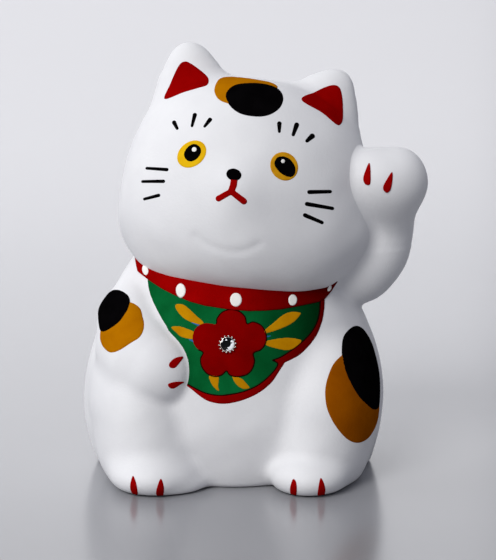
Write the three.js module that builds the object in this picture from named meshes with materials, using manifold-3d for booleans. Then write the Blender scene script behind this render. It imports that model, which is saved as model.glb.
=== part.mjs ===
// Beckoning cat figurine: a hollow earthenware cat that sits with one front paw raised.
// The head, body, ears, arms, feet and tail are separate castings joined with slip, the colours
// are enamel layers laid on the castings, a set crystal is glued to the bib's flower, and a
// rubber bung closes the hole in the base. Left and right are the cat's own.
// Millimetres, +Z up, the cat faces -Y.
import * as THREE from "three";
import { mergeVertices } from "three/addons/utils/BufferGeometryUtils.js";
import Module from "manifold-3d";

const wasm = await Module();
wasm.setup();

// Driving dimensions.
const WALL = 4.5; // thickness of the cast wall
const GAP = 0.3; // clearance between neighbouring pieces
const ENAMEL = 0.5; // thickness of a painted layer
const BODY_HALF_WIDTH = 44.3; // at the hips
const BODY_HALF_DEPTH = 38;
const BODY_WIDEST = 20; // height of the widest level
const BODY_RISE = 62; // from the widest level to where the body would close
const NECK_TOP = 64; // flat rim of the body, inside the head
const NECK_HOLE = 13; // radius of the opening between body and head
const HEAD_HALF_WIDTH = 36.3;
const HEAD_HALF_DEPTH = 31.5;
const HEAD_CENTRE = [2.7, -2, 82.3];
const HEAD_ROLL = 8; // degrees, towards the raised paw
const HEAD_PITCH = 11; // degrees, looking up
const BASE_RECESS = 2.5; // depth of the hollow inside the foot ring
const BUNG_HOLE = 9; // radius of the hole in the base
const CRYSTAL = 2.35; // radius of the set stone

const COLOURS = {
  ceramic: { color: 0xe9e9ee, roughness: 0.55, metalness: 0 },
  red: { color: 0xa80f0a, roughness: 0.4, metalness: 0 },
  green: { color: 0x0c6a3c, roughness: 0.4, metalness: 0 },
  ochre: { color: 0xc78a12, roughness: 0.4, metalness: 0 },
  yellow: { color: 0xe2b428, roughness: 0.35, metalness: 0 },
  black: { color: 0x0b0b0f, roughness: 0.35, metalness: 0 },
  white: { color: 0xf2efe6, roughness: 0.4, metalness: 0 },
  metal: { color: 0xc9c3b4, roughness: 0.25, metalness: 1 },
  stone: { color: 0xeaf2ff, roughness: 0.05, metalness: 0.1 },
  rubber: { color: 0xd8d4c8, roughness: 0.8, metalness: 0 },
};

// ---------------------------------------------------------------- solids from geometry

function solid(geometry) {
  const bare = new THREE.BufferGeometry();
  const source = geometry.index ? geometry.toNonIndexed() : geometry;
  bare.setAttribute("position", source.getAttribute("position").clone());
  const merged = mergeVertices(bare, 1e-4);
  const index = merged.index.array;
  const faces = [];
  for (let i = 0; i < index.length; i += 3) {
    const [a, b, c] = [index[i], index[i + 1], index[i + 2]];
    if (a !== b && b !== c && c !== a) faces.push(a, b, c);
  }
  const make = (list) =>
    new wasm.Manifold(
      new wasm.Mesh({
        numProp: 3,
        vertProperties: merged.attributes.position.array,
        triVerts: Uint32Array.from(list),
      }),
    );
  const made = make(faces);
  if (made.volume() > 0) return made;
  for (let i = 0; i < faces.length; i += 3) {
    [faces[i + 1], faces[i + 2]] = [faces[i + 2], faces[i + 1]];
  }
  return make(faces);
}

function join(...solids) {
  return solids.reduce((all, next) => all.add(next));
}

function cut(base, ...tools) {
  return tools.reduce((left, tool) => left.subtract(tool), base);
}

// The largest body of a solid: a cut can leave slivers behind.
function mainBody(made) {
  return made.decompose().reduce((best, next) => (next.volume() > best.volume() ? next : best));
}

// A closed solid through elliptical levels { z, a, b, x, y }: half-width a and half-depth b.
function loft(levels, around = 40) {
  const last = levels.length - 1;
  const profile = [
    new THREE.Vector2(0, levels[0].z),
    ...levels.map((level) => new THREE.Vector2(1, level.z)),
    new THREE.Vector2(0, levels[last].z),
  ];
  const geometry = new THREE.LatheGeometry(profile, around);
  geometry.rotateX(Math.PI / 2);
  const position = geometry.attributes.position;
  for (let i = 0; i < position.count; i += 1) {
    const step = (i % profile.length) - 1;
    const { a, b, x = 0, y = 0 } = levels[Math.min(Math.max(step, 0), last)];
    position.setX(i, x + position.getX(i) * a);
    position.setY(i, y + position.getY(i) * b);
  }
  return geometry;
}

// An ellipsoid whose top may lean towards the cat's left, in degrees.
function ellipsoid([x, y, z], [rx, ry, rz], grow = 0, lean = 0) {
  const geometry = new THREE.SphereGeometry(1, 20, 12);
  geometry.rotateX(Math.PI / 2);
  geometry.scale(rx + grow, ry + grow, rz + grow);
  geometry.rotateY(THREE.MathUtils.degToRad(lean));
  geometry.translate(x, y, z);
  return geometry;
}

// A round-ended limb along stations [x, y, z, radius].
function limb(stations, grow = 0, around = 18, steps = 9) {
  const path = new THREE.CatmullRomCurve3(stations.map(([x, y, z]) => new THREE.Vector3(x, y, z)));
  const girth = new THREE.CatmullRomCurve3(
    stations.map(([, , , radius], i) => new THREE.Vector3(i, radius, 0)),
  );
  const frames = path.computeFrenetFrames(steps, false);
  const rings = [];
  const addRing = (step, along, share) => {
    const t = path.getUtoTmapping(step / steps, 0);
    const radius = girth.getPoint(t).y + grow;
    const centre = path.getPoint(t).addScaledVector(frames.tangents[step], along * radius);
    rings.push({ centre, radius: radius * share, step });
  };
  for (const tilt of [0, 25, 50, 72]) {
    const angle = THREE.MathUtils.degToRad(tilt);
    addRing(0, -Math.cos(angle), Math.sin(angle));
  }
  for (let step = 0; step <= steps; step += 1) addRing(step, 0, 1);
  for (const tilt of [72, 50, 25, 0]) {
    const angle = THREE.MathUtils.degToRad(tilt);
    addRing(steps, Math.cos(angle), Math.sin(angle));
  }
  const profile = rings.map((ring, i) => new THREE.Vector2(ring.radius > 1e-6 ? 1 : 0, i));
  const geometry = new THREE.LatheGeometry(profile, around);
  const position = geometry.attributes.position;
  const point = new THREE.Vector3();
  for (let i = 0; i < position.count; i += 1) {
    const ring = rings[i % rings.length];
    point.copy(ring.centre);
    point.addScaledVector(frames.normals[ring.step], position.getX(i) * ring.radius);
    point.addScaledVector(frames.binormals[ring.step], position.getZ(i) * ring.radius);
    position.setXYZ(i, point.x, point.y, point.z);
  }
  return geometry;
}

function box([x0, x1], [y0, y1], [z0, z1]) {
  const geometry = new THREE.BoxGeometry(x1 - x0, y1 - y0, z1 - z0);
  geometry.translate((x0 + x1) / 2, (y0 + y1) / 2, (z0 + z1) / 2);
  return geometry;
}

function post(radius, z0, z1, x = 0, y = 0) {
  const geometry = new THREE.CylinderGeometry(radius, radius, z1 - z0, 28);
  geometry.rotateX(Math.PI / 2);
  geometry.translate(x, y, (z0 + z1) / 2);
  return geometry;
}

const aboveFloor = solid(box([-150, 150], [-150, 150], [0, 200]));

// ---------------------------------------------------------------- frames

// The front frame: x to the cat's left, y up and tipped back, z out of the chest.
const tip = THREE.MathUtils.degToRad(90 - HEAD_PITCH);
const FRONT = new THREE.Matrix4().makeRotationX(tip);
// The head's own frame, which has the same tip and a roll: x across, y up, z out of the face.
const FACE = new THREE.Matrix4()
  .makeTranslation(...HEAD_CENTRE)
  .multiply(FRONT)
  .multiply(new THREE.Matrix4().makeRotationZ(-THREE.MathUtils.degToRad(HEAD_ROLL)));
// The same frame tipped half-way back, to look at the crown.
const CROWN = FACE.clone().multiply(new THREE.Matrix4().makeRotationX(-Math.PI / 4));
// The same frame with z up the head and -y out of the face, which the lofts use.
const HEAD = FACE.clone().multiply(new THREE.Matrix4().makeRotationX(-Math.PI / 2));

// ---------------------------------------------------------------- outer forms, grown by g

const bulge = (t, power) => (1 - Math.abs(t) ** power) ** (1 / power);

function bodyLevels(g, heights) {
  return heights.map((z) => {
    const t = (z - BODY_WIDEST) / (z > BODY_WIDEST ? BODY_RISE : 48);
    const depthT = (z - BODY_WIDEST) / (z > BODY_WIDEST ? BODY_RISE : 31);
    const foot = z < 3 ? (2.6 * (3 - z) ** 2) / 9 : 0;
    return {
      z,
      a: BODY_HALF_WIDTH * bulge(t, z > BODY_WIDEST ? 1.7 : 2) + g - foot,
      b: BODY_HALF_DEPTH * bulge(depthT, z > BODY_WIDEST ? 1.8 : 2) + g - foot,
      y: 1.5,
    };
  });
}

// The hind legs: a leaning thigh and a low haunch behind each foot.
function hindLegs(g) {
  return join(
    solid(ellipsoid([24.9, -14, 19], [17.2, 24, 25.5], g, 7)),
    solid(ellipsoid([-25, -14, 19], [16.4, 24, 24.5], g, -16)),
    solid(ellipsoid([24.6, -18.5, 8], [15.4, 19.4, 14], g)),
    solid(ellipsoid([-23.6, -18.5, 8], [16, 19.4, 14], g)),
  );
}

function body(g = 0) {
  const heights = [0, 0.8, 2, 3.6, 9, 15, 21, 28, 35, 42, 49, 55, 60, NECK_TOP + g];
  const shape = join(solid(loft(bodyLevels(g, heights), 40)), hindLegs(g));
  return shape.intersect(aboveFloor);
}

function headLevels(g, share = 1) {
  const turns = [-84, -68, -52, -36, -18, 0, 16, 32, 47, 61, 74, 85];
  return turns.map((degrees) => {
    const s = Math.sin(THREE.MathUtils.degToRad(degrees));
    const t = Math.sign(s) * Math.abs(s) ** 0.9;
    return {
      z: -6 + t * (t > 0 ? 38 : 27) * share + Math.sign(t) * g,
      a: HEAD_HALF_WIDTH * bulge(t, 2.5) * share + g,
      b: HEAD_HALF_DEPTH * bulge(t, 2.3) * share + g,
      x: 0.8 * share,
    };
  });
}

function head(g = 0) {
  const muzzle = ellipsoid([-2.2, -25, -2.6], [9.5, 9, 8.5], g);
  return join(solid(loft(headLevels(g), 36)), solid(muzzle)).transform(HEAD.elements);
}

function ear(side, g = 0) {
  const levels = [
    { z: 10 - g, a: 14.5, b: 10, x: 17 },
    { z: 20, a: 12.6, b: 8.6, x: 18 },
    { z: 26, a: 10.8, b: 7.4, x: 19 },
    { z: 30, a: 9.1, b: 6.4, x: 19.8 },
    { z: 34, a: 7.3, b: 5.3, x: 20.4 },
    { z: 36.6, a: 5.2, b: 4, x: 21.2 },
    { z: 38.4, a: 2.9, b: 2.4, x: 21.7 },
    { z: 39.3 + g, a: 0.9, b: 0.8, x: 21.9 },
  ];
  const grown = levels.map((level) => ({
    z: level.z,
    a: level.a + g,
    b: level.b + g,
    x: side * level.x,
    y: 1,
  }));
  return solid(loft(grown, 22)).transform(HEAD.elements);
}

function raisedArm(g = 0) {
  const stations = [
    [28, -1, 55, 9.2],
    [36.4, -2.2, 58.8, 9.2],
    [40.8, -3.6, 64.8, 9.4],
    [42.6, -5.4, 72.6, 9.4],
    [43.8, -8, 80, 9.6],
  ];
  const paw = ellipsoid([42.4, -10, 86], [13.4, 10.8, 9.4], g, 4);
  return join(solid(limb(stations, g, 16, 8)), solid(paw));
}

function restingArm(g = 0) {
  const stations = [
    [-25.4, -6, 52.4, 8.8],
    [-28.2, -13.5, 45, 10.6],
    [-27.4, -20, 38.4, 11.6],
    [-24.4, -24.4, 35, 12],
    [-21.2, -28.2, 33.6, 10.2],
  ];
  return solid(limb(stations, g, 18, 9));
}

function foot(side, g = 0) {
  const [x, halfWidth] = side > 0 ? [21.6, 11.4] : [-23, 12];
  const shape = solid(ellipsoid([x, -30.6, 4.4], [halfWidth, 13.6, 6.9], g));
  return shape.intersect(aboveFloor);
}

function tail(g = 0) {
  const stations = [
    [3, 34, 9, 5.4],
    [10, 36.4, 9, 5.8],
    [17, 34.6, 12, 5.6],
    [19.4, 32.6, 19, 4.8],
  ];
  return solid(limb(stations, g, 12, 6));
}

// ---------------------------------------------------------------- outlines for the painted layers

// A smooth closed outline through its points.
function smooth(points, steps = 26) {
  const curve = new THREE.CatmullRomCurve3(
    points.map(([x, y]) => new THREE.Vector3(x, y, 0)),
    true,
  );
  return curve.getPoints(steps).slice(0, -1).map(({ x, y }) => new THREE.Vector2(x, y));
}

function oval([x, y], [rx, ry], degrees = 0, steps = 20) {
  const curve = new THREE.EllipseCurve(x, y, rx, ry, 0, 2 * Math.PI, false, 0);
  const turn = THREE.MathUtils.degToRad(degrees);
  const centre = new THREE.Vector2(x, y);
  return curve.getPoints(steps).slice(0, -1).map((point) => point.rotateAround(centre, turn));
}

// A teardrop from its point to its round end.
function teardrop(point, round, radius) {
  const start = new THREE.Vector2(...point);
  const end = new THREE.Vector2(...round);
  const axis = end.clone().sub(start);
  const length = axis.length() - radius;
  axis.normalize();
  const side = new THREE.Vector2(-axis.y, axis.x);
  const outline = [];
  const at = (along, across) =>
    start.clone().addScaledVector(axis, along).addScaledVector(side, across);
  for (let i = 0; i <= 6; i += 1) {
    const angle = (-90 + i * 30) * (Math.PI / 180);
    outline.push(at(length + radius * Math.cos(angle), radius * Math.sin(angle)));
  }
  outline.push(at(length * 0.45, radius * 0.68), at(0, 0), at(length * 0.45, -radius * 0.68));
  return outline;
}

// An outline of round petals about a centre.
function flower([x, y], count, reach, petal, startDegrees) {
  const outline = [];
  const centres = [];
  for (let i = 0; i < count; i += 1) {
    const angle = ((startDegrees + (i * 360) / count) * Math.PI) / 180;
    centres.push([x + reach * Math.cos(angle), y + reach * Math.sin(angle)]);
  }
  for (let i = 0; i < 50; i += 1) {
    const angle = (i / 50) * 2 * Math.PI;
    const ray = new THREE.Vector2(Math.cos(angle), Math.sin(angle));
    let far = 3;
    for (const [cx, cy] of centres) {
      const along = (cx - x) * ray.x + (cy - y) * ray.y;
      const off = Math.abs((cx - x) * ray.y - (cy - y) * ray.x);
      if (along > 0 && off < petal) far = Math.max(far, along + Math.sqrt(petal ** 2 - off ** 2));
    }
    outline.push(new THREE.Vector2(x + ray.x * far, y + ray.y * far));
  }
  return outline;
}

// The same outline moved outwards by a distance (inwards when negative).
function offset(outline, distance) {
  const turn = THREE.ShapeUtils.area(outline) > 0 ? 1 : -1;
  const count = outline.length;
  return outline.map((point, i) => {
    const before = outline[(i + count - 1) % count];
    const after = outline[(i + 1) % count];
    const along = after.clone().sub(before).normalize();
    return new THREE.Vector2(
      point.x + along.y * distance * turn,
      point.y - along.x * distance * turn,
    );
  });
}

// A prism that stands out of a frame's x-y plane, from one depth to another.
function prism(outline, frame, near = 5, far = 90) {
  const shape = new THREE.Shape(outline);
  const geometry = new THREE.ExtrudeGeometry(shape, { depth: far - near, bevelEnabled: false });
  geometry.translate(0, 0, near);
  geometry.applyMatrix4(frame);
  return solid(geometry);
}

// ---------------------------------------------------------------- the castings

const figure = new THREE.Group();

function addPiece(name, made, finish) {
  const mesh = mainBody(made).getMesh();
  const geometry = new THREE.BufferGeometry();
  geometry.setAttribute("position", new THREE.BufferAttribute(mesh.vertProperties, 3));
  geometry.setIndex(new THREE.BufferAttribute(mesh.triVerts, 1));
  geometry.computeVertexNormals();
  const piece = new THREE.Mesh(geometry, new THREE.MeshStandardMaterial(COLOURS[finish]));
  piece.name = name;
  figure.add(piece);
}

const bodyForm = body();
const headForm = head();
const bodyGap = body(GAP);
const headGap = head(GAP);
const leftArmGap = raisedArm(GAP);
const rightArmGap = restingArm(GAP);

const cavityHeights = [7, 9, 14, 21, 30, 40, 50, NECK_TOP - WALL];
const cavity = solid(loft(bodyLevels(-WALL - 0.5, cavityHeights), 26));
const recess = solid(loft([
  { z: -1, a: 31, b: 20, y: 1.5 },
  { z: BASE_RECESS, a: 30.4, b: 19.4, y: 1.5 },
], 28));
const bungHole = solid(post(BUNG_HOLE, 0, 12, 0, 1.5));
const neckHole = solid(post(NECK_HOLE, NECK_TOP - WALL - 2, NECK_TOP + WALL + 3, 0, 1.5));
addPiece("body_shell", cut(bodyForm, cavity, recess, bungHole, neckHole), "ceramic");

const headRoom = solid(box([-60, 60], [-60, 60], [NECK_TOP + GAP + WALL, 140]));
const headCavity = solid(loft(headLevels(-WALL), 24)).transform(HEAD.elements).intersect(headRoom);
addPiece("head_shell", cut(headForm, bodyGap, headCavity, neckHole), "ceramic");

addPiece("ear_left", cut(ear(1), headGap), "ceramic");
addPiece("ear_right", cut(ear(-1), headGap), "ceramic");
addPiece("raised_arm", cut(raisedArm(), bodyGap, headGap), "ceramic");
addPiece("resting_arm", cut(restingArm(), bodyGap, headGap), "ceramic");
addPiece("foot_left", cut(foot(1), bodyGap), "ceramic");
addPiece("foot_right", cut(foot(-1), bodyGap), "ceramic");
addPiece("tail", cut(tail(), bodyGap), "ceramic");

// The rubber bung: a flange in the recess, a tapered plug in the hole, and a dished face with a
// grip to pull it by.
const bungProfile = [
  [0, 1.9],
  [2.2, 1.9],
  [2.6, 0.7],
  [3.6, 0.7],
  [4, 1.9],
  [7.5, 1.9],
  [8.5, 0.7],
  [11.6, 0.7],
  [12, 1.1],
  [12, 1.9],
  [11.7, 2.2],
  [BUNG_HOLE - GAP, 2.2],
  [BUNG_HOLE - GAP - 0.5, 9.2],
  [BUNG_HOLE - GAP - 1.4, 10],
  [0, 10],
];
const bung = new THREE.LatheGeometry(bungProfile.map(([x, y]) => new THREE.Vector2(x, y)), 24);
bung.rotateX(Math.PI / 2);
bung.translate(0, 1.5, 0);
addPiece("stopper", solid(bung), "rubber");

// ---------------------------------------------------------------- the enamel

// A layer of enamel over a casting, inside an outline.
function layer(form, outline, frame, near, far) {
  const skin = cut(form(GAP + ENAMEL), form(GAP));
  return skin.intersect(prism(outline, frame, near, far));
}

// The collar: the band of the body right under the head, all the way round.
const collarSkin = cut(join(body(GAP + 0.9), restingArm(GAP + 0.9)), bodyGap, rightArmGap);
const collarReach = head(5.2);
const collar = cut(collarSkin.intersect(collarReach), headGap, leftArmGap);
const collarWide = head(5.2 + GAP);

const dots = [
  { at: [-25.4, 56.6], radii: [1, 1.5] },
  { at: [-14.8, 50.6], radii: [1.45, 1.9] },
  { at: [0.8, 47.9], radii: [1.6, 1.9] },
  { at: [16.8, 47.8], radii: [1.4, 1.8] },
];
const dotPrisms = dots.map(({ at, radii }) =>
  prism(oval(at, [radii[0] + GAP, radii[1] + GAP], 0, 14), FRONT, 5, 80),
);
addPiece("collar_band", cut(collar, ...dotPrisms), "red");
dots.forEach(({ at, radii }, i) => {
  const dot = prism(oval(at, radii, 0, 14), FRONT, 5, 80);
  addPiece("collar_dot_" + (i + 1), cut(collarSkin.intersect(dot), headGap), "white");
});

// The bib: a green panel in a red scalloped edging, under the collar and under the resting arm.
const bibOutline = smooth([
  [26.6, 50],
  [26, 43],
  [23.6, 37.4],
  [20.6, 32.4],
  [14.6, 29.4],
  [11.6, 24.6],
  [6.4, 20.9],
  [0, 18.8],
  [-6, 19.3],
  [-12, 22.4],
  [-19, 30],
  [-26, 40],
  [-28, 52],
  [-12, 57],
  [12, 57],
], 44);
const bibInner = offset(bibOutline, -2);
const flowerOutline = flower([-1.2, 35.3], 5, 6.4, 4.1, 86);
const leaves = [
  { point: [-15.8, 46], round: [-8.4, 40.6], radius: 1.5 },
  { point: [-14.6, 39.4], round: [-10.4, 37.6], radius: 1.2 },
  { point: [17.4, 42.8], round: [8, 38.6], radius: 1.6 },
  { point: [19.6, 36], round: [9, 36.2], radius: 1.6 },
  { point: [-4, 23], round: [-5.4, 27], radius: 1.2 },
  { point: [4.2, 23.4], round: [1.2, 27], radius: 1.2 },
];
const bibMask = join(collarWide, leftArmGap, rightArmGap);
const flowerPrism = prism(offset(flowerOutline, GAP), FRONT, 5, 80);
const leafOutlines = leaves.map(({ point, round, radius }) => teardrop(point, round, radius));
const leafPrisms = leafOutlines.map((outline) => prism(offset(outline, GAP), FRONT, 5, 80));
const bibInnerPrism = prism(bibInner, FRONT, 5, 80);
const bibLayer = layer(body, bibOutline, FRONT, 5, 80);
addPiece(
  "bib_panel",
  cut(bibLayer.intersect(bibInnerPrism), bibMask, flowerPrism, ...leafPrisms),
  "green",
);
const edgingCut = prism(offset(bibInner, GAP), FRONT, 5, 80);
addPiece("bib_edging", cut(bibLayer, edgingCut, bibMask), "red");
const flowerTop = layer(body, flowerOutline, FRONT, 5, 80);
addPiece("plum_flower", cut(flowerTop, collarWide, rightArmGap), "red");
leafOutlines.forEach((outline, i) => {
  const leafLayer = layer(body, outline, FRONT, 5, 80);
  const clear = cut(leafLayer, collarWide, rightArmGap, flowerPrism);
  addPiece("bib_leaf_" + (i + 1), clear, "ochre");
});

// The crystal and its beaded setting stand on the flower, square to the chest.
const chestDepth = () => {
  let depth = 0;
  const { min, max } = flowerTop.intersect(prism(oval([-1.6, 35.4], [1, 1]), FRONT)).boundingBox();
  const out = new THREE.Vector3().setFromMatrixColumn(FRONT, 2);
  for (const y of [min[1], max[1]]) {
    for (const z of [min[2], max[2]]) {
      depth = Math.max(depth, y * out.y + z * out.z);
    }
  }
  return depth;
};
const seat = FRONT.clone().multiply(
  new THREE.Matrix4().makeTranslation(-1.6, 35.4, chestDepth() + GAP),
);
function turned(profile, around) {
  const geometry = new THREE.LatheGeometry(
    profile.map(([x, y]) => new THREE.Vector2(x, y)),
    around,
  );
  geometry.rotateX(Math.PI / 2);
  geometry.applyMatrix4(seat);
  return solid(geometry);
}
const bezel = turned([
  [0, 0],
  [CRYSTAL + 0.5, 0],
  [CRYSTAL + 0.55, 0.8],
  [CRYSTAL + 0.2, 1.1],
  [CRYSTAL, 1.1],
  [CRYSTAL - 0.5, 0.5],
  [0, 0.4],
], 24);
const beads = [];
for (let i = 0; i < 12; i += 1) {
  const angle = (i / 12) * 2 * Math.PI;
  const reach = CRYSTAL + 0.3;
  const bead = new THREE.IcosahedronGeometry(0.42, 0);
  bead.translate(reach * Math.cos(angle), reach * Math.sin(angle), 1.05);
  bead.applyMatrix4(seat);
  beads.push(solid(bead));
}
const crystal = turned([
  [0, 0.7],
  [CRYSTAL - 0.62, 0.82],
  [CRYSTAL - 0.3, 1.35],
  [CRYSTAL - 0.75, 2.1],
  [1, 2.45],
  [0, 2.45],
], 8);
const crystalRoom = turned([
  [0, 0.45],
  [CRYSTAL - 0.45, 0.6],
  [CRYSTAL - 0.05, 1.35],
  [CRYSTAL - 0.3, 2.4],
  [0, 2.6],
], 12);
addPiece("stone_setting", cut(join(bezel, ...beads), crystalRoom), "metal");
addPiece("crystal", crystal, "stone");

// The face.
function faceLayer(name, outline, finish, upper = []) {
  const lifted = upper.map((one) => prism(offset(one, GAP), FACE, 5, 60));
  addPiece(name, cut(layer(head, outline, FACE, 5, 60), ...lifted), finish);
}
const eyes = [
  { side: "right", at: [-15.4, 6.5], iris: [4.4, 3.5], pupil: [2.7, 2.3], turn: 45 },
  { side: "left", at: [10.8, 6.6], iris: [4.2, 3.7], pupil: [3.1, 2.8], turn: -45 },
];
for (const { side, at, iris, pupil, turn } of eyes) {
  const pupilOutline = oval(at, pupil, turn, 16);
  faceLayer("iris_" + side, oval(at, iris, turn, 20), "yellow", [pupilOutline]);
  faceLayer("pupil_" + side, pupilOutline, "black");
}
const noseOutline = oval([-2.8, 2.3], [2.1, 1.6], -8, 14);
faceLayer("nose", noseOutline, "black");
const mouthOutline = [
  [-3.2, 1.6],
  [-2, 1.6],
  [-2.2, -2.2],
  [1.4, -4.2],
  [0.8, -5.3],
  [-2.8, -3.5],
  [-6.2, -5.6],
  [-6.8, -4.5],
  [-3.5, -2.2],
].map(([x, y]) => new THREE.Vector2(x, y));
faceLayer("mouth", mouthOutline, "red", [noseOutline]);
const headBlack = oval([0.4, 3.4], [8, 7], -6, 24);
const headOchre = smooth([
  [-12, 6],
  [-11, 12],
  [-6.6, 15.6],
  [0, 14.6],
  [5.8, 12],
  [3, 5],
  [-6, 0.6],
  [-10.4, 1.6],
], 26);
const crownLayer = (outline) => layer(head, outline, CROWN, 5, 60);
const headBlackPrism = prism(offset(headBlack, GAP), CROWN, 5, 60);
addPiece("head_patch_ochre", cut(crownLayer(headOchre), headBlackPrism), "ochre");
addPiece("head_patch_black", crownLayer(headBlack), "black");

const earRed = smooth([
  [25.6, 21.4],
  [25, 27.4],
  [22.6, 32.3],
  [18.4, 31.4],
  [13.8, 27.6],
  [18.6, 24.6],
  [22.6, 21.6],
], 22);
for (const side of [1, -1]) {
  const outline = earRed.map(({ x, y }) => new THREE.Vector2(side * x, y));
  const shape = (g) => ear(side, g);
  const lining = cut(layer(shape, outline, FACE, 1, 40), headGap);
  addPiece(side > 0 ? "ear_lining_left" : "ear_lining_right", lining, "red");
}

// Patches on the resting arm and on the left hip: an ochre field with a black spot over it.
const armBlack = smooth([
  [-36, 50.4],
  [-31.6, 50.2],
  [-29.6, 46],
  [-30.6, 42],
  [-34, 39.4],
  [-39, 38.2],
  [-40.6, 44],
]);
const armOchre = smooth([
  [-31, 50],
  [-27.4, 48.6],
  [-25.6, 42.6],
  [-26.8, 37.6],
  [-30.8, 34.4],
  [-36, 33],
  [-40, 37],
  [-38, 46],
]);
const armLayer = (outline) => cut(layer(restingArm, outline, FRONT, 20, 80), bodyGap, collarWide);
const armBlackPrism = prism(offset(armBlack, GAP), FRONT, 20, 80);
addPiece("arm_patch_ochre", cut(armLayer(armOchre), armBlackPrism), "ochre");
addPiece("arm_patch_black", armLayer(armBlack), "black");

// The hip's frame looks along the thigh, half-way between the front and the side.
const HIP = FRONT.clone().premultiply(new THREE.Matrix4().makeRotationZ(Math.PI / 4));
const hipBlack = oval([12, 28.5], [5.6, 13], 14, 24);
const hipOchre = oval([7.4, 20.4], [9.6, 13], 6, 24);
const hipLayer = (outline) => layer(body, outline, HIP, 8, 80);
const hipBlackPrism = prism(offset(hipBlack, GAP), HIP, 8, 80);
addPiece("hip_patch_ochre", cut(hipLayer(hipOchre), hipBlackPrism, leftArmGap), "ochre");
addPiece("hip_patch_black", cut(hipLayer(hipBlack), leftArmGap), "black");

// Claws: two painted teardrops on each paw.
const claws = [
  { name: "raised_claw_1", form: raisedArm, point: [38.8, 86.4], round: [37.8, 80.4] },
  { name: "raised_claw_2", form: raisedArm, point: [44.8, 84], round: [43.8, 78.2] },
  { name: "resting_claw_1", form: restingArm, point: [-13.4, 32.2], round: [-17.4, 29] },
  { name: "resting_claw_2", form: restingArm, point: [-12.8, 25.4], round: [-17.8, 24] },
  { name: "foot_claw_left_1", form: (g) => foot(1, g), point: [17, -1.8], round: [16.9, -7.4] },
  { name: "foot_claw_left_2", form: (g) => foot(1, g), point: [25, -1.6], round: [25.2, -7.4] },
  { name: "foot_claw_right_1", form: (g) => foot(-1, g), point: [-20.7, -1.6], round: [-20.8, -7.4] },
  { name: "foot_claw_right_2", form: (g) => foot(-1, g), point: [-28, -1.2], round: [-28, -6.6] },
];
for (const { name, form, point, round } of claws) {
  const near = name.startsWith("raised") ? 26 : 33;
  const clear = cut(layer(form, teardrop(point, round, 1.1), FRONT, near, 80), bodyGap);
  addPiece(name, clear.intersect(aboveFloor), "red");
}

// The part's origin: the middle of its footprint, on the floor.
const extent = new THREE.Box3().setFromObject(figure);
const middle = extent.getCenter(new THREE.Vector3());
figure.position.set(-middle.x, -middle.y, -extent.min.z);

export default figure;
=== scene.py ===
"""Looks of the beckoning cat figurine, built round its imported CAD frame.

The castings are distance fields, negative inside, which net() turns into meshes. Each enamel is
a flat outline that paint() casts onto a casting along the out axis of a drawing plane.
"""
import math

import bpy
import numpy as np
from mathutils import Matrix, Vector


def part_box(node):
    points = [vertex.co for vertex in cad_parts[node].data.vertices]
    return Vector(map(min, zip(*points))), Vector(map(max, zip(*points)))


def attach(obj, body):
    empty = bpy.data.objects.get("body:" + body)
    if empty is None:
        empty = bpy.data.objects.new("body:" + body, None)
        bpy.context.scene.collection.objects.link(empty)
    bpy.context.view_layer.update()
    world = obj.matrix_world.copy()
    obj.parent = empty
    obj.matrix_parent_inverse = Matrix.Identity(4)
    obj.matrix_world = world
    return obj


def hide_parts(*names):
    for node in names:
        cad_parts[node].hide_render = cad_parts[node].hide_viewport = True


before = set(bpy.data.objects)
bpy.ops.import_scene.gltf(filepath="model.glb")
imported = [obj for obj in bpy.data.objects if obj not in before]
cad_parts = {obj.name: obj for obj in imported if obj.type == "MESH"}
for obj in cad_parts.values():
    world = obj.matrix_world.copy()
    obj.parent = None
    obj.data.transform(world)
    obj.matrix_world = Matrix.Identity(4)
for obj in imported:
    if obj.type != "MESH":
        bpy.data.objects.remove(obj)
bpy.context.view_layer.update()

# ---- frames
# Sizes and places are in millimetres about the body's own axis, which stands TRUNK_BACK in front
# of the bung's middle. The cat faces -Y, and its raised paw is on +X.
TRUNK_BACK = 1.5
bung_low, bung_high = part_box("stopper")
AXIS = np.array([(bung_low.x + bung_high.x) / 2, (bung_low.y + bung_high.y) / 2 - TRUNK_BACK / 1000, 0.0])

PITCH = math.radians(11)
ROLL = math.radians(8)
OUT = np.array([0.0, -math.cos(PITCH), math.sin(PITCH)])
RIGHT = np.array([1.0, 0.0, 0.0])
UP = np.array([0.0, math.sin(PITCH), math.cos(PITCH)])
HEAD_AT = np.array([2.7, -2.0, 82.3])
HEAD_UP = UP * math.cos(ROLL) + RIGHT * math.sin(ROLL)
HEAD_RIGHT = RIGHT * math.cos(ROLL) - UP * math.sin(ROLL)


def in_frame(points):
    """Millimetres about the body's axis, as the frame's metres."""
    return np.asarray(points) / 1000.0 + AXIS


class Plane:
    """A drawing plane, in which a place is how far it lies across, up and out."""

    def __init__(self, across, up, out, at=(0, 0, 0)):
        self.axes = np.array([across, up, out], float)
        self.at = np.array(at, float)

    def drop(self, p):
        q = (p - self.at) @ self.axes.T
        return q[:, 0], q[:, 1], q[:, 2]

    def lift(self, spots):
        return self.at + np.asarray(spots) @ self.axes


def turned(degrees):
    """The front plane turned about the upright axis, towards the raised paw's side."""
    c, s = math.cos(math.radians(degrees)), math.sin(math.radians(degrees))
    across = np.array([c, s, 0.0])
    out = np.array([math.cos(PITCH) * s, -math.cos(PITCH) * c, math.sin(PITCH)])
    return Plane(across, np.cross(out, across), out)


FRONT = Plane(RIGHT, UP, OUT)
FACE = Plane(HEAD_RIGHT, HEAD_UP, OUT, HEAD_AT)
HALFWAY = math.cos(math.pi / 4)
CROWN = Plane(HEAD_RIGHT, (HEAD_UP - OUT) * HALFWAY, (HEAD_UP + OUT) * HALFWAY, HEAD_AT)
HIP = turned(45)
ARM = turned(-40)


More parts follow.
